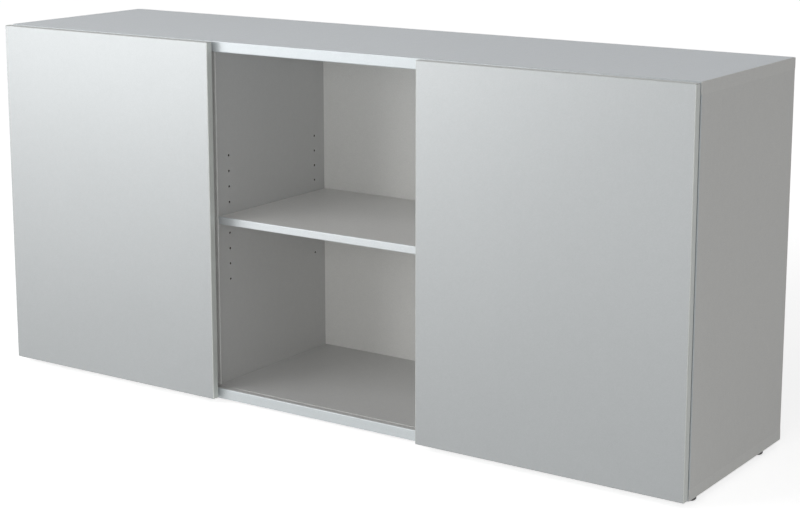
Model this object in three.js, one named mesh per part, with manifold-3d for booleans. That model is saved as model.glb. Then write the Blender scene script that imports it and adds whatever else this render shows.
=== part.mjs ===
// Sliding door cabinet: a carcase of three bays on low glides, with two doors in one plane that
// run past its front. The doors stand on rollers in a slotted lower rail and are held upright by
// sprung pins in an upper rail. Millimetres, +Z up, X along the width, the front faces -Y.
// The origin is on the floor, under the middle of the whole cabinet.

import * as THREE from 'three';
import { RoundedBoxGeometry } from 'three/addons/geometries/RoundedBoxGeometry.js';
import { mergeVertices } from 'three/addons/utils/BufferGeometryUtils.js';
import Module from 'manifold-3d';

const wasm = await Module();
wasm.setup();

// Carcase: the top and bottom panels run over and under the uprights
const WIDTH = 1600;
const CARCASE_HEIGHT = 731;
const PANEL_DEPTH = 399;
const PANEL_THICKNESS = 22;
const PANEL_OVERHANG = 3; // of the top and bottom panels past the uprights at the rear
const UPRIGHT_THICKNESS = 16;
const SIDE_BAY_WIDTH = 506;
const RUNNING_SPACE = 24; // the dividers stand back by this much, for the running gear
const EDGE_RADIUS = 2; // rounding of the edge bands
const EDGE_STEPS = 2;

// Back panels, in grooves of the boards round them
const BACK_THICKNESS = 8;
const BACK_RECESS = 4; // from the uprights' rear edges to the back panels' rear faces
const BACK_GROOVE_DEPTH = 5;

// Rows of shelf holes, and the shelves on their bolts
const HOLE_PITCH = 32;
const HOLE_COUNT = 9;
const HOLE_DIAMETER = 5;
const HOLE_DEPTH = 10;
const HOLE_SIDES = 10;
const FRONT_COLUMN = 37; // from the dividers' front edges
const REAR_COLUMN_MARGIN = 30; // at least this much is left in front of the back panels
const SHELF_HEIGHT = 342; // from a bay's floor to the middle of the shelf
const SHELF_THICKNESS = 16;
const SHELF_SETBACK = 2; // from the dividers' front edges
const SHELF_SIDE_GAP = 0.5;
const SHELF_REAR_GAP = 1;
const BOLT_SEAT = 7; // how far a bolt goes into the upright
const BOLT_REACH = 9; // how far it goes into the shelf
const BOLT_CHAMFER = 0.8;

// Doors
const DOOR_THICKNESS = 16;
const DOOR_GAP = 5; // between a door and the carcase
const DOOR_OVERLAP = 17; // of a door past the divider, into the middle bay
const DOOR_DROP = 1; // of the doors' upper edges below the carcase's top
const DOOR_RAISE = 3; // of the doors' lower edges above the carcase's underside

// Lower and upper rails, let into the panels flush with their faces
const RAIL_SETBACK = 13.5; // from the carcase's front to the middle of the slot
const RAIL_WIDTH = 12;
const RAIL_DEPTH = 9;
const SLOT_WIDTH = 4;
const SLOT_DEPTH = 6.5;
const SLOT_LEAD_IN = 0.5;

// Rollers, their axles and brackets
const FITTING_INSET = 60; // from a door's side edges to the middle of its fittings
const ROLLER_DIAMETER = 22;
const ROLLER_SIDES = 20;
const TREAD_WIDTH = 3;
const TREAD_CHAMFER = 0.4;
const HUB_DIAMETER = 9;
const HUB_WIDTH = 6;
const AXLE_DIAMETER = 4;
const AXLE_HEAD_DIAMETER = 6.5;
const AXLE_HEAD_THICKNESS = 1;
const AXLE_SIDES = 12;
const SHEET_THICKNESS = 2;
const BRACKET_WIDTH = 44;
const BRACKET_HEIGHT = 54;
const BRIDGE_HEIGHT = 22; // of the bridge's top above the bracket's foot
const CHEEK_MARGIN = 1; // of the cheeks round the roller
const BRACKET_CORNER = 4;
const SCREW_HOLE_DIAMETER = 5;
const SCREW_SPACING = 26;
const SCREW_SIDES = 10;
const CORNER_STEPS = 3;

// Upper guides: a plate, a web and a tube with a sprung pin in it
const GUIDE_PLATE_WIDTH = 36;
const GUIDE_PLATE_HEIGHT = 40;
const GUIDE_TUBE_DIAMETER = 12;
const GUIDE_TUBE_HEIGHT = 24;
const GUIDE_TUBE_SIDES = 12;
const GUIDE_COLLAR_HEIGHT = 6; // of the narrow end of the bore
const GUIDE_WEB_THICKNESS = 6;
const GUIDE_SHANK_DIAMETER = 6;
const GUIDE_SHANK_LENGTH = 24;
const GUIDE_KNOB_DIAMETER = 9;
const GUIDE_KNOB_HEIGHT = 3;
const GUIDE_TIP_REACH = 5.5; // into the upper rail's slot
const GUIDE_TIP_CHAMFER = 0.8;

// End stops on the lower rail
const STOP_LENGTH = 14;
const STOP_WIDTH = 10;
const STOP_HEIGHT = 10;
const STOP_RADIUS = 1.5;

// Feet: screw-in glides under the four uprights
const FOOT_HEIGHT = 9;
const FOOT_DIAMETER = 25;
const FOOT_CHAMFER = 2;
const FOOT_SIDES = 20;
const FOOT_INSET = 17; // from the cabinet's ends, for the feet under the side panels
const FOOT_FRONT_SETBACK = 37; // from the carcase's front
const FOOT_REAR_SETBACK = 74; // from its rear
const STEM_DIAMETER = 8;
const STEM_LENGTH = 14;

// Clearances
const FIT_GAP = 0.3; // between pieces that sit in one another, and at running faces
const TOP_CLEARANCE = 1; // between the running gear and the panel faces it passes
const OVERRUN = 1; // of a cutting tool past the face it cuts

// Places worked out from the sizes above, in the carcase's frame: its front is at y = 0 and its
// underside at z = 0, with x = 0 in the middle
const HALF_WIDTH = WIDTH / 2;
const FLOOR_Z = PANEL_THICKNESS;
const CEILING_Z = CARCASE_HEIGHT - PANEL_THICKNESS;
const SIDE_INNER_X = HALF_WIDTH - UPRIGHT_THICKNESS;
const DIVIDER_OUTER_X = SIDE_INNER_X - SIDE_BAY_WIDTH;
const DIVIDER_INNER_X = DIVIDER_OUTER_X - UPRIGHT_THICKNESS;
const UPRIGHT_DEPTH = PANEL_DEPTH - PANEL_OVERHANG;
const BACK_REAR_Y = UPRIGHT_DEPTH - BACK_RECESS;
const BACK_FRONT_Y = BACK_REAR_Y - BACK_THICKNESS;
const FRONT_COLUMN_Y = RUNNING_SPACE + FRONT_COLUMN;
const COLUMN_ROOM = BACK_FRONT_Y - REAR_COLUMN_MARGIN - FRONT_COLUMN_Y;
const COLUMN_SPACING = Math.floor(COLUMN_ROOM / HOLE_PITCH) * HOLE_PITCH;
const COLUMN_YS = [FRONT_COLUMN_Y, FRONT_COLUMN_Y + COLUMN_SPACING];
const SHELF_Z = FLOOR_Z + SHELF_HEIGHT;
const BOLT_DIAMETER = HOLE_DIAMETER - FIT_GAP * 2;
const DOOR_WIDTH = HALF_WIDTH - DIVIDER_INNER_X + DOOR_OVERLAP;
const DOOR_BACK_Y = -DOOR_GAP;
const DOOR_FRONT_Y = DOOR_BACK_Y - DOOR_THICKNESS;
const GEAR_FOOT_Z = FLOOR_Z + TOP_CLEARANCE;
const GEAR_TOP_Z = CEILING_Z - TOP_CLEARANCE;
const AXLE_Z = FLOOR_Z - SLOT_DEPTH + FIT_GAP + ROLLER_DIAMETER / 2;
const CHEEK_RADIUS = ROLLER_DIAMETER / 2 + CHEEK_MARGIN;
const CHEEK_INNER = HUB_WIDTH / 2 + FIT_GAP;
const CHEEK_OUTER = CHEEK_INNER + SHEET_THICKNESS;

// The bays from left to right, each as its two x faces
const BAYS = [
  { name: 'left', from: -SIDE_INNER_X, to: -DIVIDER_OUTER_X },
  { name: 'middle', from: -DIVIDER_INNER_X, to: DIVIDER_INNER_X },
  { name: 'right', from: DIVIDER_OUTER_X, to: SIDE_INNER_X },
];

// The fittings of the doors: each pair of rollers and guides stands one inset from a door's edges
const FITTINGS = [
  { name: 'left_outer', x: -HALF_WIDTH + FITTING_INSET },
  { name: 'left_inner', x: -HALF_WIDTH + DOOR_WIDTH - FITTING_INSET },
  { name: 'right_inner', x: HALF_WIDTH - DOOR_WIDTH + FITTING_INSET },
  { name: 'right_outer', x: HALF_WIDTH - FITTING_INSET },
];

// Finishes, from the photograph
const SILVER_BOARD = { color: 0xb9bdbf, roughness: 0.45, metalness: 0.15 };
const SILVER_DOOR = { color: 0xc6cacc, roughness: 0.38, metalness: 0.35 };
const GREY_BOARD = { color: 0xaaaba8, roughness: 0.55, metalness: 0.05 };
const ALUMINIUM = { color: 0xb4b7b9, roughness: 0.35, metalness: 0.9 };
const ZINC = { color: 0x9a9da0, roughness: 0.4, metalness: 0.8 };
const STEEL = { color: 0xa8abad, roughness: 0.3, metalness: 1 };
const NYLON = { color: 0xd8d8d4, roughness: 0.5, metalness: 0 };
const GREY_PLASTIC = { color: 0x7d8083, roughness: 0.55, metalness: 0 };
const BLACK_PLASTIC = { color: 0x2b2c2e, roughness: 0.6, metalness: 0 };

// Axis maps: the columns are where a shape's own x, y and z go
const UNIT_X = new THREE.Vector3(1, 0, 0);
const UNIT_Y = new THREE.Vector3(0, 1, 0);
const UNIT_Z = new THREE.Vector3(0, 0, 1);
const SECTION_ALONG_X = new THREE.Matrix4().makeBasis(UNIT_Y, UNIT_Z, UNIT_X);
const OUTLINE_ALONG_Y = new THREE.Matrix4().makeBasis(UNIT_X, UNIT_Z, UNIT_Y.clone().negate());
const TURNED_ALONG_X = new THREE.Matrix4().makeBasis(UNIT_Z, UNIT_X, UNIT_Y);
const TURNED_ALONG_Z = new THREE.Matrix4().makeBasis(UNIT_Y, UNIT_Z, UNIT_X);

const cabinet = new THREE.Group();
const carcase = new THREE.Group();
carcase.position.set(0, -(PANEL_DEPTH + DOOR_FRONT_Y) / 2, FOOT_HEIGHT);
cabinet.add(carcase);

function addPart(name, geometry, finish) {
  geometry.computeVertexNormals();
  const mesh = new THREE.Mesh(geometry, new THREE.MeshStandardMaterial(finish));
  mesh.name = name;
  carcase.add(mesh);
}

// A geometry with shared vertices merged and slivers of no area left out
function welded(source) {
  const bare = source.clone();
  bare.deleteAttribute('normal');
  bare.deleteAttribute('uv');
  const merged = mergeVertices(bare);
  const kept = [];
  for (let i = 0; i < merged.index.count; i += 3) {
    const [a, b, c] = [merged.index.getX(i), merged.index.getX(i + 1), merged.index.getX(i + 2)];
    if (a !== b && b !== c && c !== a) kept.push(a, b, c);
  }
  merged.setIndex(kept);
  return merged;
}

function toSolid(source) {
  const merged = welded(source);
  return new wasm.Manifold(new wasm.Mesh({
    numProp: 3,
    vertProperties: new Float32Array(merged.attributes.position.array),
    triVerts: new Uint32Array(merged.index.array),
  }));
}

function toGeometry(solid) {
  const mesh = solid.getMesh();
  const geometry = new THREE.BufferGeometry();
  geometry.setAttribute('position', new THREE.BufferAttribute(mesh.vertProperties, 3));
  geometry.setIndex(new THREE.BufferAttribute(mesh.triVerts, 1));
  return geometry;
}

function cut(body, tools) {
  return toGeometry(tools.reduce((solid, tool) => solid.subtract(toSolid(tool)), toSolid(body)));
}

function join(pieces) {
  const [first, ...rest] = pieces.map(toSolid);
  return toGeometry(rest.reduce((solid, piece) => solid.add(piece), first));
}

function common(body, other) {
  return toGeometry(toSolid(body).intersect(toSolid(other)));
}

// Boxes from their spans in x, y and z, sharp or with rounded edges
function block(xs, ys, zs) {
  const geometry = new THREE.BoxGeometry(xs[1] - xs[0], ys[1] - ys[0], zs[1] - zs[0]);
  return geometry.translate((xs[0] + xs[1]) / 2, (ys[0] + ys[1]) / 2, (zs[0] + zs[1]) / 2);
}

function roundedBlock(xs, ys, zs, radius) {
  const sizes = [xs[1] - xs[0], ys[1] - ys[0], zs[1] - zs[0]];
  const geometry = new RoundedBoxGeometry(...sizes, EDGE_STEPS, radius);
  return geometry.translate((xs[0] + xs[1]) / 2, (ys[0] + ys[1]) / 2, (zs[0] + zs[1]) / 2);
}

function ordered(a, b) {
  return [Math.min(a, b), Math.max(a, b)];
}

// A closed shape of straight sides
function polygon(points) {
  return new THREE.Shape(points.map(([u, v]) => new THREE.Vector2(u, v)));
}

function extruded(shape, length, steps) {
  return new THREE.ExtrudeGeometry(shape, { depth: length, bevelEnabled: false, curveSegments: steps });
}

// A body turned about its own y axis from [radius, height] points, then laid along an axis
function turned(points, sides, axisMap) {
  const profile = points.map(([radius, height]) => new THREE.Vector2(radius, height));
  const geometry = new THREE.LatheGeometry(profile, sides);
  if (axisMap) geometry.applyMatrix4(axisMap);
  return geometry;
}

function rod(radius, length, sides, axisMap) {
  return turned([[0, 0], [radius, 0], [radius, length], [0, length]], sides, axisMap);
}

// A board's section with its two front corners rounded; front is towards the smaller v
function boardSection(thickness, depth) {
  const shape = new THREE.Shape();
  const half = thickness / 2;
  shape.moveTo(half, depth);
  shape.lineTo(-half, depth);
  shape.lineTo(-half, EDGE_RADIUS);
  shape.absarc(EDGE_RADIUS - half, EDGE_RADIUS, EDGE_RADIUS, Math.PI, Math.PI * 1.5);
  shape.lineTo(half - EDGE_RADIUS, 0);
  shape.absarc(half - EDGE_RADIUS, EDGE_RADIUS, EDGE_RADIUS, -Math.PI / 2, 0);
  shape.closePath();
  return shape;
}

// Grooves and rails

function backGroove(xs, zs) {
  return block(xs, [BACK_FRONT_Y - FIT_GAP, BACK_REAR_Y + FIT_GAP], zs);
}

function railGroove(faceZ, inward) {
  const depth = inward * (RAIL_DEPTH + FIT_GAP);
  const zs = ordered(faceZ + depth, faceZ - inward * OVERRUN);
  const half = RAIL_WIDTH / 2 + FIT_GAP;
  return block([-SIDE_INNER_X, SIDE_INNER_X], [RAIL_SETBACK - half, RAIL_SETBACK + half], zs);
}

// The section has its slot upwards; the upper rail turns it over
function railSection(flip) {
  const outer = RAIL_WIDTH / 2;
  const slot = SLOT_WIDTH / 2;
  const mouth = slot + SLOT_LEAD_IN;
  const half = [
    [outer, 0], [outer, RAIL_DEPTH], [mouth, RAIL_DEPTH],
    [slot, RAIL_DEPTH - SLOT_LEAD_IN], [slot, RAIL_DEPTH - SLOT_DEPTH],
  ];
  const other = half.map(([u, v]) => [-u, v]).reverse();
  return polygon([...half, ...other].map(([u, v]) => [flip * u, flip * v]));
}

function addRails() {
  const length = (SIDE_INNER_X - FIT_GAP) * 2;
  const lower = extruded(railSection(1), length, 1).applyMatrix4(SECTION_ALONG_X);
  lower.translate(-length / 2, RAIL_SETBACK, FLOOR_Z - RAIL_DEPTH);
  addPart('lower_rail', lower, ALUMINIUM);
  const upper = extruded(railSection(-1), length, 1).applyMatrix4(SECTION_ALONG_X);
  upper.translate(-length / 2, RAIL_SETBACK, CEILING_Z + RAIL_DEPTH);
  addPart('upper_rail', upper, ALUMINIUM);
}

// Carcase boards

// A top or bottom panel: its edges are rounded, but its ends stay square where the side panels are
// glued to them. The uprights touch it at faceZ, and inward points from there into the panel.
function panelBlank(faceZ, inward) {
  const zs = ordered(faceZ, faceZ + inward * PANEL_THICKNESS);
  const board = roundedBlock([-HALF_WIDTH, HALF_WIDTH], [0, PANEL_DEPTH], zs, EDGE_RADIUS);
  const jointZs = ordered(faceZ, faceZ + inward * PANEL_THICKNESS / 2);
  const joints = [-1, 1].map((side) => {
    const xs = ordered(side * SIDE_INNER_X, side * HALF_WIDTH);
    return block(xs, [EDGE_RADIUS, UPRIGHT_DEPTH], jointZs);
  });
  return join([board, ...joints]);
}

function innerSpan() {
  return [-SIDE_INNER_X - BACK_GROOVE_DEPTH, SIDE_INNER_X + BACK_GROOVE_DEPTH];
}

function footPlaces() {
  const dividerX = (DIVIDER_OUTER_X + DIVIDER_INNER_X) / 2;
  const endX = HALF_WIDTH - FOOT_INSET;
  const columns = [
    ['left_end', -endX], ['left_divider', -dividerX], ['right_divider', dividerX], ['right_end', endX],
  ];
  const rows = [['front', FOOT_FRONT_SETBACK], ['rear', PANEL_DEPTH - FOOT_REAR_SETBACK]];
  return columns.flatMap(([column, x]) => rows.map(([row, y]) => ({ name: `${column}_${row}_foot`, x, y })));
}

function addPanels() {
  const topGroove = backGroove(innerSpan(), [CEILING_Z - OVERRUN, CEILING_Z + BACK_GROOVE_DEPTH]);
  const top = cut(panelBlank(CEILING_Z, 1), [topGroove, railGroove(CEILING_Z, 1)]);
  addPart('top_panel', top, SILVER_BOARD);

  const bottomGroove = backGroove(innerSpan(), [FLOOR_Z - BACK_GROOVE_DEPTH, FLOOR_Z + OVERRUN]);
  const boreRadius = STEM_DIAMETER / 2 + FIT_GAP;
  const boreDepth = STEM_LENGTH + FIT_GAP;
  const bores = footPlaces().map(({ x, y }) => {
    const bore = rod(boreRadius, boreDepth + OVERRUN, AXLE_SIDES, TURNED_ALONG_Z);
    return bore.translate(x, y, -OVERRUN);
  });
  const tools = [bottomGroove, railGroove(FLOOR_Z, -1), ...bores];
  addPart('bottom_panel', cut(panelBlank(FLOOR_Z, -1), tools), SILVER_BOARD);
}

// Heights of the shelf holes; the middle hole is level with the middle of the shelf
function holeHeights() {
  const middle = (HOLE_COUNT - 1) / 2;
  return Array.from({ length: HOLE_COUNT }, (_, i) => SHELF_Z + (i - middle) * HOLE_PITCH);
}

// A row of holes into the face at faceX; side is +1 where the face looks towards +X
function holeTools(faceX, side, depth) {
  const length = depth + OVERRUN;
  const startX = side > 0 ? faceX - depth : faceX - OVERRUN;
  return COLUMN_YS.flatMap((y) => holeHeights().map((z) => {
    const hole = rod(HOLE_DIAMETER / 2, length, HOLE_SIDES, TURNED_ALONG_X);
    return hole.translate(startX, y, z);
  }));
}

function sideGroove(faceX, side) {
  const xs = ordered(faceX - side * BACK_GROOVE_DEPTH, faceX + side * OVERRUN);
  return backGroove(xs, [FLOOR_Z - OVERRUN, CEILING_Z + OVERRUN]);
}

function uprightBlank(centreX, frontY) {
  const section = boardSection(UPRIGHT_THICKNESS, UPRIGHT_DEPTH - frontY);
  return extruded(section, CEILING_Z - FLOOR_Z, EDGE_STEPS).translate(centreX, frontY, FLOOR_Z);
}

function addUprights() {
  for (const [word, side] of [['left', -1], ['right', 1]]) {
    const sideX = side * (HALF_WIDTH - UPRIGHT_THICKNESS / 2);
    const innerX = side * SIDE_INNER_X;
    const sideTools = [sideGroove(innerX, -side), ...holeTools(innerX, -side, HOLE_DEPTH)];
    addPart(`${word}_side_panel`, cut(uprightBlank(sideX, 0), sideTools), SILVER_BOARD);

    const dividerX = side * (DIVIDER_OUTER_X + DIVIDER_INNER_X) / 2;
    const bayX = side * DIVIDER_OUTER_X;
    const throughHoles = holeTools(bayX, side, UPRIGHT_THICKNESS + OVERRUN);
    const dividerTools = [sideGroove(bayX, side), sideGroove(side * DIVIDER_INNER_X, -side), ...throughHoles];
    addPart(`${word}_divider`, cut(uprightBlank(dividerX, RUNNING_SPACE), dividerTools), GREY_BOARD);
  }
}

function addBacks() {
  const reach = BACK_GROOVE_DEPTH - FIT_GAP;
  const ys = [BACK_FRONT_Y, BACK_REAR_Y];
  const zs = [FLOOR_Z - reach, CEILING_Z + reach];
  for (const { name, from, to } of BAYS) {
    addPart(`${name}_back_panel`, block([from - reach, to + reach], ys, zs), GREY_BOARD);
  }
}

// Shelves and their bolts: a shelf drops over four bolts, which its notches hide

function boltNotch(x, y) {
  const radius = BOLT_DIAMETER / 2 + FIT_GAP;
  const length = BOLT_REACH + FIT_GAP + OVERRUN;
  const round = rod(radius, length, HOLE_SIDES, TURNED_ALONG_X).translate(x, y, SHELF_Z);
  const below = SHELF_Z - SHELF_THICKNESS / 2 - OVERRUN;
  return join([round, block([x, x + length], [y - radius, y + radius], [below, SHELF_Z])]);
}

function shelf(from, to) {
  const [startX, endX] = [from + SHELF_SIDE_GAP, to - SHELF_SIDE_GAP];
  const frontY = RUNNING_SPACE + SHELF_SETBACK;
  const section = boardSection(SHELF_THICKNESS, BACK_FRONT_Y - SHELF_REAR_GAP - frontY);
  const board = extruded(section, endX - startX, EDGE_STEPS);
  board.applyMatrix4(new THREE.Matrix4().makeBasis(UNIT_Z, UNIT_Y, UNIT_X.clone().negate()));
  board.translate(endX, frontY, SHELF_Z);
  const notchStarts = [from - OVERRUN, to - BOLT_REACH - FIT_GAP];
  return cut(board, notchStarts.flatMap((x) => COLUMN_YS.map((y) => boltNotch(x, y))));
}

function bolt() {
  const radius = BOLT_DIAMETER / 2;
  const length = BOLT_SEAT + BOLT_REACH;
  const profile = [
    [0, 0], [radius - BOLT_CHAMFER, 0], [radius, BOLT_CHAMFER],
    [radius, length - BOLT_CHAMFER], [radius - BOLT_CHAMFER, length], [0, length],
  ];
  return turned(profile, HOLE_SIDES, TURNED_ALONG_X);
}

function addShelves() {
  for (const { name, from, to } of BAYS) {
    addPart(`${name}_shelf`, shelf(from, to), GREY_BOARD);
    const starts = [from - BOLT_SEAT, to - BOLT_REACH];
    const places = starts.flatMap((x) => COLUMN_YS.map((y) => [x, y]));
    places.forEach(([x, y], i) => {
      addPart(`${name}_shelf_bolt_${i + 1}`, bolt().translate(x, y, SHELF_Z), STEEL);
    });
  }
}

// Doors

function addDoors() {
  const zs = [DOOR_RAISE, CARCASE_HEIGHT - DOOR_DROP];
  const ys = [DOOR_FRONT_Y, DOOR_BACK_Y];
  const left = roundedBlock([-HALF_WIDTH, DOOR_WIDTH - HALF_WIDTH], ys, zs, EDGE_RADIUS);
  addPart('left_door', left, SILVER_DOOR);
  const right = roundedBlock([HALF_WIDTH - DOOR_WIDTH, HALF_WIDTH], ys, zs, EDGE_RADIUS);
  addPart('right_door', right, SILVER_DOOR);
}

// Roller brackets: a folded sheet with a plate on the door and two cheeks either side of the
// roller, seen here from the end; y is measured from the rail's middle and z from the foot
function bracketSection() {
  const plateFront = DOOR_BACK_Y - RAIL_SETBACK;
  const plateBack = plateFront + SHEET_THICKNESS;
  const bridgeUnder = BRIDGE_HEIGHT - SHEET_THICKNESS;
  return polygon([
    [plateFront, 0], [plateBack, 0], [plateBack, bridgeUnder], [-CHEEK_OUTER, bridgeUnder],
    [-CHEEK_OUTER, 0], [-CHEEK_INNER, 0], [-CHEEK_INNER, bridgeUnder], [CHEEK_INNER, bridgeUnder],
    [CHEEK_INNER, 0], [CHEEK_OUTER, 0], [CHEEK_OUTER, BRIDGE_HEIGHT], [plateBack, BRIDGE_HEIGHT],
    [plateBack, BRACKET_HEIGHT], [plateFront, BRACKET_HEIGHT],
  ]);
}

// The outline seen from the front: a plate that narrows to a rounded tongue round the axle
function bracketOutline(axleHeight) {
  const half = BRACKET_WIDTH / 2;
  const shape = new THREE.Shape();
  const shoulder = BRIDGE_HEIGHT - SHEET_THICKNESS;
  shape.moveTo(-CHEEK_RADIUS, axleHeight);
  shape.absarc(0, axleHeight, CHEEK_RADIUS, Math.PI, Math.PI * 2);
  shape.lineTo(CHEEK_RADIUS, shoulder);
  shape.lineTo(half, shoulder);
  shape.lineTo(half, BRACKET_HEIGHT - BRACKET_CORNER);
  shape.absarc(half - BRACKET_CORNER, BRACKET_HEIGHT - BRACKET_CORNER, BRACKET_CORNER, 0, Math.PI / 2);
  shape.absarc(BRACKET_CORNER - half, BRACKET_HEIGHT - BRACKET_CORNER, BRACKET_CORNER, Math.PI / 2, Math.PI);
  shape.lineTo(-half, shoulder);
  shape.lineTo(-CHEEK_RADIUS, shoulder);
  shape.closePath();
  return shape;
}

function rollerBracket() {
  const axleHeight = AXLE_Z - GEAR_FOOT_Z;
  const folded = extruded(bracketSection(), BRACKET_WIDTH, 1).applyMatrix4(SECTION_ALONG_X);
  folded.translate(-BRACKET_WIDTH / 2, 0, 0);
  const depth = RAIL_SETBACK + DOOR_GAP + CHEEK_OUTER;
  const outline = extruded(bracketOutline(axleHeight), depth + OVERRUN * 2, CORNER_STEPS * 2);
  outline.applyMatrix4(OUTLINE_ALONG_Y).translate(0, CHEEK_OUTER + OVERRUN, 0);
  const axleBore = rod(AXLE_DIAMETER / 2 + FIT_GAP, (CHEEK_OUTER + OVERRUN) * 2, AXLE_SIDES);
  axleBore.translate(0, -CHEEK_OUTER - OVERRUN, axleHeight);
  const screwZ = (BRIDGE_HEIGHT + BRACKET_HEIGHT) / 2;
  const screws = [-SCREW_SPACING / 2, SCREW_SPACING / 2].map((x) => {
    const hole = rod(SCREW_HOLE_DIAMETER / 2, SHEET_THICKNESS + OVERRUN * 2, SCREW_SIDES);
    return hole.translate(x, DOOR_BACK_Y - RAIL_SETBACK - OVERRUN, screwZ);
  });
  return cut(common(folded, outline), [axleBore, ...screws]);
}

function roller() {
  const tread = ROLLER_DIAMETER / 2;
  const [bore, hub] = [AXLE_DIAMETER / 2 + FIT_GAP, HUB_DIAMETER / 2];
  const [treadY, hubY] = [TREAD_WIDTH / 2, HUB_WIDTH / 2];
  const profile = [
    [bore, -hubY], [hub, -hubY], [hub, -treadY], [tread - TREAD_CHAMFER, -treadY],
    [tread, TREAD_CHAMFER - treadY], [tread, treadY - TREAD_CHAMFER], [tread - TREAD_CHAMFER, treadY],
    [hub, treadY], [hub, hubY], [bore, hubY], [bore, -hubY],
  ];
  return turned(profile, ROLLER_SIDES);
}

function axle() {
  const [pin, head] = [AXLE_DIAMETER / 2, AXLE_HEAD_DIAMETER / 2];
  const inner = CHEEK_OUTER + FIT_GAP;
  const outer = inner + AXLE_HEAD_THICKNESS;
  const profile = [
    [0, -outer], [head, -outer], [head, -inner], [pin, -inner],
    [pin, inner], [head, inner], [head, outer], [0, outer],
  ];
  return turned(profile, AXLE_SIDES);
}

function addRollers() {
  for (const { name, x } of FITTINGS) {
    addPart(`${name}_roller_bracket`, rollerBracket().translate(x, RAIL_SETBACK, GEAR_FOOT_Z), ZINC);
    addPart(`${name}_roller_axle`, axle().translate(x, RAIL_SETBACK, AXLE_Z), STEEL);
    addPart(`${name}_roller`, roller().translate(x, RAIL_SETBACK, AXLE_Z), NYLON);
  }
}

// Upper guides: heights are measured down from the top of the running space

function guideHousing() {
  const plateYs = [DOOR_BACK_Y - RAIL_SETBACK, DOOR_BACK_Y - RAIL_SETBACK + SHEET_THICKNESS];
  const halfPlate = GUIDE_PLATE_WIDTH / 2;
  const plate = block([-halfPlate, halfPlate], plateYs, [-GUIDE_PLATE_HEIGHT, 0]);
  const halfWeb = GUIDE_WEB_THICKNESS / 2;
  const web = block([-halfWeb, halfWeb], [plateYs[0], 0], [-GUIDE_TUBE_HEIGHT, 0]);
  const tube = rod(GUIDE_TUBE_DIAMETER / 2, GUIDE_TUBE_HEIGHT, GUIDE_TUBE_SIDES, TURNED_ALONG_Z);
  tube.translate(0, 0, -GUIDE_TUBE_HEIGHT);
  const collarRadius = SLOT_WIDTH / 2;
  const shankRadius = GUIDE_SHANK_DIAMETER / 2 + FIT_GAP;
  const bore = turned([
    [0, -GUIDE_TUBE_HEIGHT - OVERRUN], [shankRadius, -GUIDE_TUBE_HEIGHT - OVERRUN],
    [shankRadius, -GUIDE_COLLAR_HEIGHT], [collarRadius, -GUIDE_COLLAR_HEIGHT],
    [collarRadius, OVERRUN], [0, OVERRUN],
  ], GUIDE_TUBE_SIDES, TURNED_ALONG_Z);
  const screwZ = -(GUIDE_TUBE_HEIGHT + GUIDE_PLATE_HEIGHT) / 2;
  const spread = GUIDE_PLATE_WIDTH / 2 - SCREW_HOLE_DIAMETER;
  const screws = [-spread, spread].map((x) => {
    const hole = rod(SCREW_HOLE_DIAMETER / 2, SHEET_THICKNESS + OVERRUN * 2, SCREW_SIDES);
    return hole.translate(x, plateYs[0] - OVERRUN, screwZ);
  });
  return cut(join([plate, web, tube]), [bore, ...screws]);
}

function guidePin() {
  const tip = SLOT_WIDTH / 2 - FIT_GAP;
  const [shank, knob] = [GUIDE_SHANK_DIAMETER / 2, GUIDE_KNOB_DIAMETER / 2];
  const shankTop = -GUIDE_COLLAR_HEIGHT - FIT_GAP;
  const shankFoot = shankTop - GUIDE_SHANK_LENGTH;
  const top = TOP_CLEARANCE + GUIDE_TIP_REACH;
  return turned([
    [0, shankFoot - GUIDE_KNOB_HEIGHT], [knob, shankFoot - GUIDE_KNOB_HEIGHT], [knob, shankFoot],
    [shank, shankFoot], [shank, shankTop], [tip, shankTop],
    [tip, top - GUIDE_TIP_CHAMFER], [tip - GUIDE_TIP_CHAMFER, top], [0, top],
  ], HOLE_SIDES, TURNED_ALONG_Z);
}

function addGuides() {
  for (const { name, x } of FITTINGS) {
    addPart(`${name}_guide_housing`, guideHousing().translate(x, RAIL_SETBACK, GEAR_TOP_Z), GREY_PLASTIC);
    addPart(`${name}_guide_pin`, guidePin().translate(x, RAIL_SETBACK, GEAR_TOP_Z), NYLON);
  }
}

// End stops: a block on the rail with a tongue in its slot, just outside the outer roller brackets

function endStop() {
  const half = STOP_LENGTH / 2;
  const [corner, topZ] = [half - STOP_RADIUS, STOP_HEIGHT - STOP_RADIUS];
  const outline = new THREE.Shape();
  outline.moveTo(-half, 0);
  outline.lineTo(half, 0);
  outline.absarc(corner, topZ, STOP_RADIUS, 0, Math.PI / 2);
  outline.absarc(-corner, topZ, STOP_RADIUS, Math.PI / 2, Math.PI);
  outline.closePath();
  const head = extruded(outline, STOP_WIDTH, CORNER_STEPS).applyMatrix4(OUTLINE_ALONG_Y);
  head.translate(0, STOP_WIDTH / 2, 0);
  const tongue = SLOT_WIDTH / 2 - FIT_GAP;
  return join([head, block([-corner, corner], [-tongue, tongue], [FIT_GAP - SLOT_DEPTH, topZ])]);
}

function addStops() {
  const outerEdge = HALF_WIDTH - FITTING_INSET + CHEEK_RADIUS;
  const x = outerEdge + FIT_GAP + STOP_LENGTH / 2;
  addPart('left_end_stop', endStop().translate(-x, RAIL_SETBACK, FLOOR_Z), BLACK_PLASTIC);
  addPart('right_end_stop', endStop().translate(x, RAIL_SETBACK, FLOOR_Z), BLACK_PLASTIC);
}

// Feet

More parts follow.
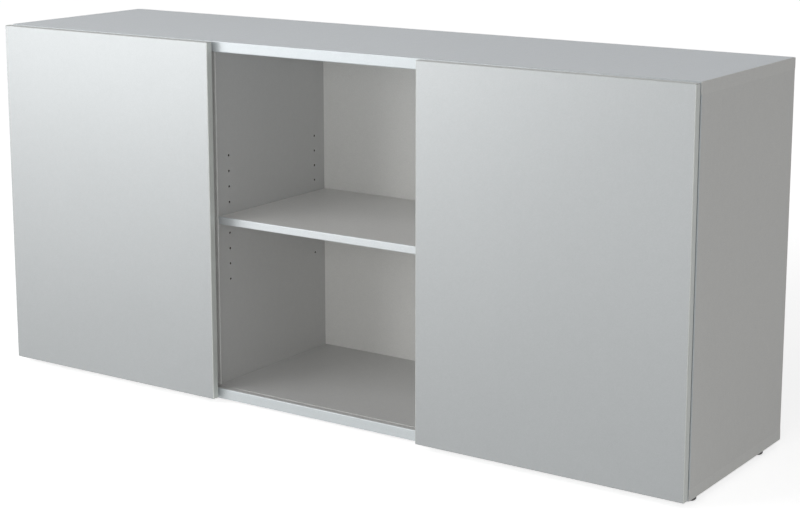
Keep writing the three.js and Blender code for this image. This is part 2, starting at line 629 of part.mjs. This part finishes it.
function foot() {
  const [disc, stem] = [FOOT_DIAMETER / 2, STEM_DIAMETER / 2];
  return turned([
    [0, -FOOT_HEIGHT], [disc - FOOT_CHAMFER, -FOOT_HEIGHT], [disc, FOOT_CHAMFER - FOOT_HEIGHT],
    [disc, -FIT_GAP], [stem, -FIT_GAP], [stem, STEM_LENGTH], [0, STEM_LENGTH],
  ], FOOT_SIDES, TURNED_ALONG_Z);
}

function addFeet() {
  for (const { name, x, y } of footPlaces()) {
    addPart(name, foot().translate(x, y, 0), BLACK_PLASTIC);
  }
}

addPanels();
addUprights();
addBacks();
addShelves();
addRails();
addDoors();
addRollers();
addGuides();
addStops();
addFeet();

export default cabinet;
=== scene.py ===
import math
from collections import namedtuple

import bmesh
import bpy
from mathutils import Matrix, Vector

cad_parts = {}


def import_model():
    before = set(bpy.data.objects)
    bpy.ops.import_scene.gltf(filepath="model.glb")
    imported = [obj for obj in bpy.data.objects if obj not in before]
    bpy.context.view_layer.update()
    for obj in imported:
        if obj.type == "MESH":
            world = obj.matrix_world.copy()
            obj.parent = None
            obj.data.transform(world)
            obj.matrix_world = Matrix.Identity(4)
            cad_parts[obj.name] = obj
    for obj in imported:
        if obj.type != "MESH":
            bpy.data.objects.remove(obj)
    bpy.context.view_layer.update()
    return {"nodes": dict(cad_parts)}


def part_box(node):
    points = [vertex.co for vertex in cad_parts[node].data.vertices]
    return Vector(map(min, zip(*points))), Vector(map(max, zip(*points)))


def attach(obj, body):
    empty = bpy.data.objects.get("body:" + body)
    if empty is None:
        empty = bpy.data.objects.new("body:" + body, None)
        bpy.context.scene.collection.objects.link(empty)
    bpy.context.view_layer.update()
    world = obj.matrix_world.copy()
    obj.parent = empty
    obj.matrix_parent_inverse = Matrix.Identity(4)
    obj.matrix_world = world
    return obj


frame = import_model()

# A silver grey cabinet with two sliding doors, in a plain studio.
# Lengths are in metres, +Z is up and the cabinet's front faces -Y.


# Camera: the photograph's viewing angle. Its upright lines are parallel, which takes a shift of -0.552.
# That would push the cabinet out of other views, so most of it is a tilt here.

CAMERA_PLACE = (2.0876, -2.9711, 1.1583)
CAMERA_YAW = math.radians(34.193)
CAMERA_PITCH = math.radians(-11.006)
CAMERA_LENS = 83.19
CAMERA_SHIFT = -0.10
SENSOR_WIDTH = 36.0

# Light: a large soft box at the front left, and smaller ones at the front right and above

AMBIENT_LEVEL = 0.24
WHITE_LEVEL = 1.0
WHITE = (1.0, 1.0, 1.0, 1.0)
LAMP_TARGET = (0.0, -0.2, 0.45)
LAMPS = (
    # name, place, width, height, power
    ("key", (-1.8, -2.2, 1.1), 2.2, 1.8, 38.6),
    ("fill", (1.2, -2.6, 0.8), 1.4, 1.2, 14.4),
    ("overhead", (0.0, -1.6, 2.6), 2.0, 1.2, 5.9),
)

# Floor: each glow is a distance from the floor's middle, and a strength

FLOOR_RADIUS = 60.0
FLOOR_CORNERS = 96
FLOOR_COLOUR = (0.80, 0.80, 0.80, 1.0)
FLOOR_ROUGHNESS = 0.9
GLOW_NEAR = (0.9, 0.70)
GLOW_FAR = (2.6, 0.82)

# Boards: chipboard faced with a satin film that holds a fine pearl, with edge bands glued on.
# A side of a board is the number of its axis and the way that it faces.

X_AXIS, Y_AXIS, Z_AXIS = range(3)
LEFT, RIGHT = (X_AXIS, -1), (X_AXIS, 1)
FRONT, REAR = (Y_AXIS, -1), (Y_AXIS, 1)
UNDER, OVER = (Z_AXIS, -1), (Z_AXIS, 1)

Film = namedtuple("Film", "colour metallic roughness specular")
# The top, bottom and side panels share one film, as do the dividers and shelves. Their colours differ only
# as painted light and shade, matched to the light on each face: the top cooler and lighter, the sides
# warmer, the bottom and dividers darker.
TOP_FILM = Film((0.738, 0.776, 0.808), 0.15, 0.5, 0.35)
BOTTOM_FILM = Film((0.632, 0.633, 0.628), 0.15, 0.5, 0.35)
SIDE_FILM = Film((0.688, 0.688, 0.669), 0.15, 0.5, 0.35)
DOOR_FILM = Film((0.382, 0.397, 0.402), 0.6, 0.40, 0.45)
DIVIDER_FILM = Film((0.566, 0.568, 0.563), 0.05, 0.55, 0.3)
SHELF_FILM = Film((0.747, 0.736, 0.718), 0.05, 0.5, 0.3)
BACK_FILM = Film((0.788, 0.786, 0.764), 0.0, 0.6, 0.3)

Band = namedtuple("Band", "sides colour metallic roughness")
FRONT_BAND = Band((FRONT,), (0.575, 0.614, 0.633), 0.2, 0.30)
# The bottom panel's front band is the top's front band painted lighter, as painted light on that edge.
BOTTOM_FRONT_BAND_PAINTED_LIGHT = Band((FRONT,), (0.622, 0.661, 0.675), 0.2, 0.30)
# The ends of the top and bottom panels take the side film's painted warm shade, so that they meet the sides
# in one tone.
PANEL_END_BAND = Band((LEFT, RIGHT), (0.712, 0.712, 0.692), 0.15, 0.5)
DOOR_SIDE_BAND = Band((LEFT, RIGHT), (0.69, 0.72, 0.69), 0.15, 0.35)
# The doors' top and bottom bands are their side band painted darker, as painted shade along the door's top
# edge.
DOOR_END_BAND_PAINTED_SHADE = Band((UNDER, OVER), (0.47, 0.49, 0.48), 0.15, 0.35)
# The dividers' front bands are painted near white, as painted light where they stand in the shade of the
# doors.
DIVIDER_BAND_PAINTED_LIGHT = Band((FRONT,), (0.87, 0.87, 0.85), 0.05, 0.5)
# The shelves' front bands are the front band painted lighter, as painted light on them in the doors' shade.
SHELF_BAND_PAINTED_LIGHT = Band((FRONT,), (0.68, 0.715, 0.73), 0.2, 0.35)

# The doors' rear face has a light film of its own, which isn't metallic
BACKING_COLOUR = (0.78, 0.78, 0.77)
BACKING_METALLIC = 0.0

FILM_THICKNESS = 0.0004
FILM_TONES = (
    # size, detail, darkest, lightest
    (0.22, 3.0, 0.985, 1.015),
    (0.012, 2.0, 0.98, 1.02),
    (0.0022, 2.0, 0.97, 1.03),
)
PEARL_SIZE = 0.0007
PEARL_SHADES = (0.96, 1.04)
FILM_GRAIN_SIZE = 0.0009
FILM_GRAIN_DEPTH = 0.00002
GLOSS_SIZE = 0.004
GLOSS_CHANGES = (-0.05, 0.05)

BAND_THICKNESS = 0.0015
SEAM_HALF_WIDTH = 0.00015
SEAM_SHADE = 0.82
SEAM_DEPTH = 0.00004

# Holes and grooves show raw chipboard, painted nearly black as painted shade inside them. A rim along the
# board's edges is left out: it has film or bands.
RIM = 0.004
SHADED_CHIPBOARD_COLOUR = (0.08, 0.062, 0.046)
CHIPBOARD_METALLIC = 0.0
CHIPBOARD_ROUGHNESS = 0.9
CHIP_SIZE = 0.0012
CHIP_SHADES = (0.6, 1.3)

# Metal fittings: fine lines along the rails and small even marks on turned pieces

ALUMINIUM_COLOUR = (0.66, 0.66, 0.65)
ALUMINIUM_ROUGHNESS = 0.52
ALUMINIUM_METALLIC = 0.35
ALUMINIUM_STRETCH = (400, 1, 1)
STEEL_COLOUR = (0.62, 0.62, 0.62)
STEEL_ROUGHNESS = 0.30
METAL_LINE_SIZE = 0.0005
METAL_LINE_DETAIL = 3.0
METAL_LINE_SHADES = (0.94, 1.05)
METAL_LINE_DEPTH = 0.00001
METAL_GLOSS_CHANGES = (-0.06, 0.08)
METAL_CLOUD_SIZE = 0.03
METAL_CLOUD_SHADES = (0.97, 1.03)

ZINC_COLOUR = (0.60, 0.62, 0.65)
ZINC_FLAKE_SIZE = 0.004
ZINC_FLAKE_SHADES = (0.9, 1.06)
ZINC_ROUGHNESSES = (0.30, 0.44)
ZINC_CLOUD_SIZE = 0.02
ZINC_CLOUD_SHADES = (0.96, 1.04)
ZINC_GRAIN_SIZE = 0.0012
ZINC_GRAIN_DEPTH = 0.00001

# Plastic fittings

Plastic = namedtuple("Plastic", "name colour roughness grain_size grain_depth")
NYLON = Plastic("nylon", (0.78, 0.78, 0.75), 0.45, 0.0012, 0.00001)
HOUSING_PLASTIC = Plastic("grey_plastic", (0.20, 0.21, 0.215), 0.5, 0.0008, 0.00002)
STOP_PLASTIC = Plastic("black_plastic", (0.018, 0.018, 0.019), 0.55, 0.0008, 0.00003)
FOOT_PLASTIC = Plastic("dark_grey_plastic", (0.075, 0.076, 0.078), 0.55, 0.0008, 0.00003)
PLASTIC_SHADES = (0.96, 1.04)
PLASTIC_CLOUD_SIZE = 0.02
PLASTIC_CLOUD_DETAIL = 3.0
PLASTIC_GLOSS_CHANGE = 0.05
PLASTIC_GLOSS_GRAINS = 4

# Edges that bend by less than this angle shade as curves

ROUND_BELOW = math.radians(50)

# Screws that hold the roller brackets and the upper guides to the doors: pan heads with a cross recess

SCREW_HEAD_RADIUS = 0.004
SCREW_HEAD_HEIGHT = 0.0024
SCREW_RIM_SHARE = 0.35
SCREW_SEAT_SHARE = 0.97
SCREW_NECK_RADIUS = 0.0021
SCREW_CORNERS = 32
SCREW_DOME_DEGREES = range(0, 90, 10)
SCREW_ROUND_BELOW = math.radians(35)
RECESS_LENGTH = 0.0042
RECESS_WIDTH = 0.0009
RECESS_DEPTH = 0.0015
RECESS_OVERSHOOT = 0.0006
RECESS_LOWER_LENGTH_SHARE = 0.45
RECESS_LOWER_WIDTH_SHARE = 0.6
WELD_DISTANCE = 1e-6
PLATE_THICKNESS = 0.002
SCREW_OFFSET = 0.013
SCREW_BELOW_BRACKET_TOP = 0.016
SCREW_ABOVE_GUIDE_FOOT = 0.008
FITTINGS = ("left_outer", "left_inner", "right_inner", "right_outer")
SCREW_PAIR = (
    # number, side, turn
    (1, -1, math.radians(65)),
    (2, 1, math.radians(105)),
)


class Shader:
    """A material whose nodes are made by short calls; place is the point in the row frame, in metres."""

    def __init__(self, name):
        self.material = bpy.data.materials.new(name)
        self.material.use_nodes = True
        self.tree = self.material.node_tree
        self.surface = self.tree.nodes["Principled BSDF"]
        self.place = self.node("ShaderNodeTexCoord").outputs["Object"]

    def node(self, kind, **settings):
        made = self.tree.nodes.new(kind)
        for name, value in settings.items():
            setattr(made, name, value)
        return made

    def put(self, socket, value):
        """Link the socket to an output, or give it a plain value."""
        if isinstance(value, bpy.types.NodeSocket):
            self.tree.links.new(value, socket)
        else:
            socket.default_value = value

    def calculate(self, operation, first, second=0.0):
        made = self.node("ShaderNodeMath", operation=operation)
        self.put(made.inputs[0], first)
        self.put(made.inputs[1], second)
        return made.outputs[0]

    def noise(self, size, detail=2.0, stretch=(1, 1, 1)):
        """Noise from 0 to 1 whose features are about size metres across, longer where stretch is over 1."""
        mapping = self.node("ShaderNodeMapping")
        self.put(mapping.inputs["Vector"], self.place)
        mapping.inputs["Scale"].default_value = [1 / s for s in stretch]
        made = self.node("ShaderNodeTexNoise")
        self.put(made.inputs["Vector"], mapping.outputs[0])
        made.inputs["Scale"].default_value = 1 / size
        made.inputs["Detail"].default_value = detail
        return made.outputs["Fac"]

    def cells(self, size):
        """A random shade from 0 to 1 for each of many small cells."""
        made = self.node("ShaderNodeTexVoronoi")
        self.put(made.inputs["Vector"], self.place)
        made.inputs["Scale"].default_value = 1 / size
        split = self.node("ShaderNodeSeparateColor")
        self.put(split.inputs[0], made.outputs["Color"])
        return split.outputs[0]

    def spread(self, value, low, high):
        """A value from 0 to 1 carried over to the range from low to high."""
        made = self.node("ShaderNodeMapRange")
        self.put(made.inputs["Value"], value)
        made.inputs["To Min"].default_value = low
        made.inputs["To Max"].default_value = high
        return made.outputs["Result"]

    def shade(self, colour, *factors):
        """A colour times some factors near 1."""
        total = factors[0]
        for factor in factors[1:]:
            total = self.calculate("MULTIPLY", total, factor)
        made = self.node("ShaderNodeVectorMath", operation="SCALE")
        self.put(made.inputs[0], colour)
        self.put(made.inputs["Scale"], total)
        return made.outputs[0]

    def colours(self, mask, colour, other):
        """The first colour where the mask is 0, and the other where it is 1."""
        made = self.node("ShaderNodeMix", data_type="RGBA")
        self.put(made.inputs["Factor"], mask)
        for name, value in (("A", colour), ("B", other)):
            plain = not isinstance(value, bpy.types.NodeSocket)
            self.put(made.inputs[name], (*value, 1.0) if plain else value)
        return made.outputs["Result"]

    def values(self, mask, value, other):
        """The first number where the mask is 0, and the other where it is 1."""
        if value == other:
            return value
        made = self.node("ShaderNodeMix", data_type="FLOAT")
        self.put(made.inputs["Factor"], mask)
        self.put(made.inputs["A"], value)
        self.put(made.inputs["B"], other)
        return made.outputs["Result"]

    def bump(self, height, depth, base=None):
        """Relief of that depth in metres, on top of the base relief; a negative depth cuts in."""
        made = self.node("ShaderNodeBump")
        made.inputs["Distance"].default_value = depth
        self.put(made.inputs["Height"], height)
        if base is not None:
            self.put(made.inputs["Normal"], base)
        return made.outputs[0]

    def finish(self, colour, roughness, normal, metallic=0.0, specular=0.5):
        self.put(self.surface.inputs["Base Color"], colour)
        self.put(self.surface.inputs["Roughness"], roughness)
        self.put(self.surface.inputs["Normal"], normal)
        self.put(self.surface.inputs["Metallic"], metallic)
        self.surface.inputs["Specular IOR Level"].default_value = specular
        return self.material


# Boards

def depths(shader, node, sides):
    """How deep a point lies behind the nearest of some sides of the board, in metres."""
    low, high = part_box(node)
    split = shader.node("ShaderNodeSeparateXYZ")
    shader.put(split.inputs[0], shader.place)
    nearest = None
    for axis, way in sides:
        edge = low[axis] if way < 0 else high[axis]
        from_edge = shader.calculate("SUBTRACT", edge, split.outputs[axis])
        depth = shader.calculate("MULTIPLY", from_edge, way)
        nearest = depth if nearest is None else shader.calculate("MINIMUM", nearest, depth)
    return nearest


def drilled_mask(shader, node, thin):
    """1 on the walls of holes and grooves in the two faces of a board that is thin along that axis."""
    faces = [(thin, way) for way in (-1, 1)]
    edges = [(axis, way) for axis in range(3) if axis != thin for way in (-1, 1)]
    below_film = shader.calculate("GREATER_THAN", depths(shader, node, faces), FILM_THICKNESS)
    off_rim = shader.calculate("GREATER_THAN", depths(shader, node, edges), RIM)
    return shader.calculate("MULTIPLY", below_film, off_rim)


def board(node, film, bands, thin, has_backing=False):
    """A board's material: its film and backing, then its edge bands, then the walls of its holes."""
    shader = Shader(f"{node}_film")
    colour, metallic, roughness, specular = film
    factors = [
        shader.spread(shader.noise(size, detail), darkest, lightest)
        for size, detail, darkest, lightest in FILM_TONES
    ]
    factors.append(shader.spread(shader.cells(PEARL_SIZE), *PEARL_SHADES))
    relief = shader.bump(shader.noise(FILM_GRAIN_SIZE), FILM_GRAIN_DEPTH)
    if has_backing:
        backing = shader.calculate("LESS_THAN", depths(shader, node, (REAR,)), FILM_THICKNESS)
        colour = shader.colours(backing, colour, BACKING_COLOUR)
        metallic = shader.values(backing, metallic, BACKING_METALLIC)
    for band in bands:
        depth = depths(shader, node, band.sides)
        from_seam = shader.calculate("ABSOLUTE", shader.calculate("SUBTRACT", depth, BAND_THICKNESS))
        seam = shader.calculate("LESS_THAN", from_seam, SEAM_HALF_WIDTH)
        inside = shader.calculate("LESS_THAN", depth, BAND_THICKNESS)
        factors.append(shader.spread(seam, 1.0, SEAM_SHADE))
        relief = shader.bump(seam, -SEAM_DEPTH, relief)
        colour = shader.colours(inside, colour, band.colour)
        metallic = shader.values(inside, metallic, band.metallic)
        roughness = shader.values(inside, roughness, band.roughness)
    drilled = drilled_mask(shader, node, thin)
    # The walls of holes and grooves take chipboard painted nearly black, as the shade inside them.
    shaded_chips = shader.shade(SHADED_CHIPBOARD_COLOUR, shader.spread(shader.cells(CHIP_SIZE), *CHIP_SHADES))
    colour = shader.colours(drilled, colour, shaded_chips)
    metallic = shader.values(drilled, metallic, CHIPBOARD_METALLIC)
    roughness = shader.values(drilled, roughness, CHIPBOARD_ROUGHNESS)
    uneven = shader.spread(shader.noise(GLOSS_SIZE), *GLOSS_CHANGES)
    gloss = shader.calculate("ADD", roughness, uneven)
    return shader.finish(shader.shade(colour, *factors), gloss, relief, metallic, specular)


def dress_boards():
    """Each board gets its film, its edge bands and the walls of its holes, in chipboard darkened with
    painted shade.
    """
    boards = {}
    for word in ("left", "right"):
        boards[f"{word}_door"] = (DOOR_FILM, (DOOR_SIDE_BAND, DOOR_END_BAND_PAINTED_SHADE), Y_AXIS, True)
        boards[f"{word}_side_panel"] = (SIDE_FILM, (FRONT_BAND,), X_AXIS)
        boards[f"{word}_divider"] = (DIVIDER_FILM, (DIVIDER_BAND_PAINTED_LIGHT,), X_AXIS)
    boards["top_panel"] = (TOP_FILM, (FRONT_BAND, PANEL_END_BAND), Z_AXIS)
    boards["bottom_panel"] = (BOTTOM_FILM, (BOTTOM_FRONT_BAND_PAINTED_LIGHT, PANEL_END_BAND), Z_AXIS)
    for word in ("left", "middle", "right"):
        boards[f"{word}_shelf"] = (SHELF_FILM, (SHELF_BAND_PAINTED_LIGHT,), Z_AXIS)
        boards[f"{word}_back_panel"] = (BACK_FILM, (), Y_AXIS)
    for node, look in boards.items():
        set_material(frame["nodes"][node], board(node, *look))


def set_material(piece, material):
    piece.data.materials.clear()
    piece.data.materials.append(material)


# Fittings

def metal(name, colour, roughness, stretch, metallic=1.0):
    """Metal with fine marks, drawn out into lines along the axis on which stretch is over 1."""
    shader = Shader(name)
    lines = shader.noise(METAL_LINE_SIZE, METAL_LINE_DETAIL, stretch)
    tone = shader.shade(
        colour,
        shader.spread(lines, *METAL_LINE_SHADES),
        shader.spread(shader.noise(METAL_CLOUD_SIZE), *METAL_CLOUD_SHADES),
    )
    gloss = shader.spread(lines, *(roughness + change for change in METAL_GLOSS_CHANGES))
    return shader.finish(tone, gloss, shader.bump(lines, METAL_LINE_DEPTH), metallic)


def zinc():
    """Zinc plate with large flat flakes."""
    shader = Shader("zinc_plate")
    flakes = shader.cells(ZINC_FLAKE_SIZE)
    tone = shader.shade(
        ZINC_COLOUR,
        shader.spread(flakes, *ZINC_FLAKE_SHADES),
        shader.spread(shader.noise(ZINC_CLOUD_SIZE), *ZINC_CLOUD_SHADES),
    )
    gloss = shader.spread(flakes, *ZINC_ROUGHNESSES)
    grain = shader.bump(shader.noise(ZINC_GRAIN_SIZE), ZINC_GRAIN_DEPTH)
    return shader.finish(tone, gloss, grain, metallic=1.0)


def plastic(look):
    """Moulded plastic with a fine grain."""
    shader = Shader(look.name)
    cloud = shader.spread(shader.noise(PLASTIC_CLOUD_SIZE, PLASTIC_CLOUD_DETAIL), *PLASTIC_SHADES)
    fine = shader.spread(shader.noise(look.grain_size), *PLASTIC_SHADES)
    tone = shader.shade(look.colour, cloud, fine)
    gloss = shader.spread(
        shader.noise(look.grain_size * PLASTIC_GLOSS_GRAINS),
        look.roughness - PLASTIC_GLOSS_CHANGE,
        look.roughness + PLASTIC_GLOSS_CHANGE,
    )
    return shader.finish(tone, gloss, shader.bump(shader.noise(look.grain_size), look.grain_depth))


def dress_fittings():
    aluminium = metal(
        "anodised_aluminium", ALUMINIUM_COLOUR, ALUMINIUM_ROUGHNESS, ALUMINIUM_STRETCH, ALUMINIUM_METALLIC
    )
    steel = metal("turned_steel", STEEL_COLOUR, STEEL_ROUGHNESS, (1, 1, 1))
    add_screws(steel)
    zinc_plate = zinc()
    nylon = plastic(NYLON)
    housing = plastic(HOUSING_PLASTIC)
    stop = plastic(STOP_PLASTIC)
    foot = plastic(FOOT_PLASTIC)
    by_ending = {
        "_rail": aluminium,
        "_bolt_1": steel,
        "_bolt_2": steel,
        "_bolt_3": steel,
        "_bolt_4": steel,
        "_roller_axle": steel,
        "_roller_bracket": zinc_plate,
        "_roller": nylon,
        "_guide_pin": nylon,
        "_guide_housing": housing,
        "_end_stop": stop,
        "_foot": foot,
    }
    for name, piece in frame["nodes"].items():
        for ending, material in by_ending.items():
            if name.endswith(ending):
                set_material(piece, material)


def soften_shading():
    """Rounded edges shade as curves and flat faces stay flat."""
    for piece in frame["nodes"].values():
        piece.data.shade_smooth()
        piece.data.set_sharp_from_angle(angle=ROUND_BELOW)
        even = piece.modifiers.new("even_normals", "WEIGHTED_NORMAL")
        even.keep_sharp = True


# Screws

def lathe(profile, corners):
    """A solid of revolution about z, from (radius, height) points; the first and last radius are 0."""
    shape = bmesh.new()
    rings = []
    for radius, height in profile:
        if radius == 0:
            rings.append([shape.verts.new((0, 0, height))])
            continue
        turns = [2 * math.pi * i / corners for i in range(corners)]
        rings.append([shape.verts.new((radius * math.cos(t), radius * math.sin(t), height)) for t in turns])
    for below, above in zip(rings, rings[1:]):
        for i in range(corners):
            j = (i + 1) % corners
            around = [
                below[i % len(below)],
                below[j % len(below)],
                above[j % len(above)],
                above[i % len(above)],
            ]
            shape.faces.new(list(dict.fromkeys(around)))
    bmesh.ops.recalc_face_normals(shape, faces=shape.faces)
    return shape


def to_mesh(shape, name):
    mesh = bpy.data.meshes.new(name)
    shape.to_mesh(mesh)
    shape.free()
    return mesh


def add_object(name, data):
    made = bpy.data.objects.new(name, data)
    bpy.context.scene.collection.objects.link(made)
    return made


def recess_blade():
    """A flat blade that narrows downwards from a little above z = 0."""
    shape = bmesh.new()
    made = bmesh.ops.create_cube(shape, size=1)
    for vertex in made["verts"]:
        upper = vertex.co.z > 0
        vertex.co.x *= RECESS_LENGTH if upper else RECESS_LENGTH * RECESS_LOWER_LENGTH_SHARE
        vertex.co.y *= RECESS_WIDTH if upper else RECESS_WIDTH * RECESS_LOWER_WIDTH_SHARE
        vertex.co.z = RECESS_OVERSHOOT if upper else -RECESS_DEPTH
    return to_mesh(shape, "recess")


def screw_blank():
    """A domed head that stands on z = 0, with its neck below."""
    radius, height = SCREW_HEAD_RADIUS, SCREW_HEAD_HEIGHT
    profile = [
        (0, -PLATE_THICKNESS),
        (SCREW_NECK_RADIUS, -PLATE_THICKNESS),
        (SCREW_NECK_RADIUS, 0),
        (radius * SCREW_SEAT_SHARE, 0),
    ]
    for angle in (math.radians(degrees) for degrees in SCREW_DOME_DEGREES):
        rise = SCREW_RIM_SHARE + (1 - SCREW_RIM_SHARE) * math.sin(angle)
        profile.append((radius * math.cos(angle), height * rise))
    profile.append((0, height))
    return to_mesh(lathe(profile, SCREW_CORNERS), "screw_blank")


def screw_mesh():
    """The blank, cut by two crossed blades."""
    head = add_object("screw_blank", screw_blank())
    blades = []
    for turn in (0, math.pi / 2):
        blade = add_object("recess", recess_blade())
        blade.matrix_world = Matrix.Translation((0, 0, SCREW_HEAD_HEIGHT)) @ Matrix.Rotation(turn, 4, "Z")
        cutter = head.modifiers.new("recess", "BOOLEAN")
        cutter.operation = "DIFFERENCE"
        cutter.solver = "EXACT"
        cutter.object = blade
        blades.append(blade)
    bpy.context.view_layer.update()
    cut = bmesh.new()
    cut.from_mesh(head.evaluated_get(bpy.context.evaluated_depsgraph_get()).data)
    bmesh.ops.remove_doubles(cut, verts=cut.verts, dist=WELD_DISTANCE)
    mesh = to_mesh(cut, "pan_head_screw")
    for piece in (head, *blades):
        bpy.data.objects.remove(piece)
    mesh.shade_smooth()
    mesh.set_sharp_from_angle(angle=SCREW_ROUND_BELOW)
    return mesh


def add_screws(material):
    """Two screws through the plate of each bracket and of each guide housing, heads to the rear."""
    mesh = screw_mesh()
    mesh.materials.clear()
    mesh.materials.append(material)
    heads_to_rear = Matrix.Rotation(-math.pi / 2, 4, "X")
    for fitting in FITTINGS:
        door = f"{fitting.split('_')[0]}_door_body"
        bracket_low, bracket_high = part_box(f"{fitting}_roller_bracket")
        guide_low, guide_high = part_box(f"{fitting}_guide_housing")
        plates = (
            ("bracket", bracket_low, bracket_high, bracket_high.z - SCREW_BELOW_BRACKET_TOP),
            ("guide", guide_low, guide_high, guide_low.z + SCREW_ABOVE_GUIDE_FOOT),
        )
        for kind, low, high, z in plates:
            middle = (low.x + high.x) / 2
            for number, side, turn in SCREW_PAIR:
                screw = add_object(f"{fitting}_{kind}_screw_{number}", mesh)
                spot = Matrix.Translation((middle + side * SCREW_OFFSET, low.y + PLATE_THICKNESS, z))
                screw.matrix_world = spot @ heads_to_rear @ Matrix.Rotation(turn, 4, "Z")
                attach(screw, door)


# Stage

def floor():
    shape = bmesh.new()
    bmesh.ops.create_circle(shape, cap_ends=True, segments=FLOOR_CORNERS, radius=FLOOR_RADIUS)
    piece = add_object("floor", to_mesh(shape, "floor"))
    set_material(piece, floor_material())


def floor_material():
    """Pale and matt, with a glow of its own in the camera's and mirrors' eyes, so that it shows as white.

    There is less of it close to the cabinet, which leaves the contact shadow.
    """
    material = bpy.data.materials.new("pale_floor")
    material.use_nodes = True
    tree = material.node_tree
    surface = tree.nodes["Principled BSDF"]
    surface.inputs["Base Color"].default_value = FLOOR_COLOUR
    surface.inputs["Roughness"].default_value = FLOOR_ROUGHNESS
    surface.inputs["Specular IOR Level"].default_value = 0.0
    glow = tree.nodes.new("ShaderNodeEmission")
    place = tree.nodes.new("ShaderNodeTexCoord")
    radius = tree.nodes.new("ShaderNodeVectorMath")
    radius.operation = "LENGTH"
    strength = tree.nodes.new("ShaderNodeMapRange")
    strength.interpolation_type = "SMOOTHSTEP"
    for name, value in zip(("From Min", "To Min", "From Max", "To Max"), (*GLOW_NEAR, *GLOW_FAR)):
        strength.inputs[name].default_value = value
    tree.links.new(place.outputs["Object"], radius.inputs[0])
    tree.links.new(radius.outputs["Value"], strength.inputs["Value"])
    tree.links.new(strength.outputs["Result"], glow.inputs["Strength"])
    both = tree.nodes.new("ShaderNodeAddShader")
    tree.links.new(surface.outputs[0], both.inputs[0])
    tree.links.new(glow.outputs[0], both.inputs[1])
    choose(tree, surface, both, tree.nodes["Material Output"])
    return material


def world():
    """Even surroundings that show as white."""
    made = bpy.data.worlds.new("studio")
    bpy.context.scene.world = made
    made.use_nodes = True
    tree = made.node_tree
    ambient = tree.nodes["Background"]
    ambient.inputs["Color"].default_value = WHITE
    ambient.inputs["Strength"].default_value = AMBIENT_LEVEL
    white = tree.nodes.new("ShaderNodeBackground")
    white.inputs["Color"].default_value = WHITE
    white.inputs["Strength"].default_value = WHITE_LEVEL
    choose(tree, ambient, white, tree.nodes["World Output"])


def choose(tree, lighting, seen, output):
    """Use the one shader for light, and the other where the camera, a mirror or glass shows the place."""
    choice = tree.nodes.new("ShaderNodeMixShader")
    tree.links.new(seen_directly(tree), choice.inputs[0])
    tree.links.new(lighting.outputs[0], choice.inputs[1])
    tree.links.new(seen.outputs[0], choice.inputs[2])
    tree.links.new(choice.outputs[0], output.inputs["Surface"])


def seen_directly(tree):
    """1 for rays of the camera, of mirrors and through glass."""
    path = tree.nodes.new("ShaderNodeLightPath")
    total = path.outputs["Is Camera Ray"]
    for name in ("Is Glossy Ray", "Is Transmission Ray"):
        add = tree.nodes.new("ShaderNodeMath")
        add.operation = "ADD"
        add.use_clamp = True
        tree.links.new(total, add.inputs[0])
        tree.links.new(path.outputs[name], add.inputs[1])
        total = add.outputs[0]
    return total


def soft_boxes():
    for name, place, width, height, power in LAMPS:
        data = bpy.data.lights.new(name, "AREA")
        data.shape = "RECTANGLE"
        data.size = width
        data.size_y = height
        data.energy = power
        lamp = add_object(name, data)
        lamp.location = place
        away = Vector(place) - Vector(LAMP_TARGET)
        lamp.rotation_mode = "QUATERNION"
        lamp.rotation_quaternion = away.to_track_quat("Z", "Y")
        lamp.visible_camera = False


def camera():
    data = bpy.data.cameras.new("camera")
    data.sensor_width = SENSOR_WIDTH
    data.lens = CAMERA_LENS
    data.shift_y = CAMERA_SHIFT
    made = add_object("camera", data)
    made.location = CAMERA_PLACE
    made.rotation_euler = (math.pi / 2 + CAMERA_PITCH, 0, CAMERA_YAW)
    bpy.context.scene.camera = made


bpy.context.scene.view_settings.view_transform = "Standard"
camera()
world()
floor()
soft_boxes()
dress_boards()
dress_fittings()
soften_shading()
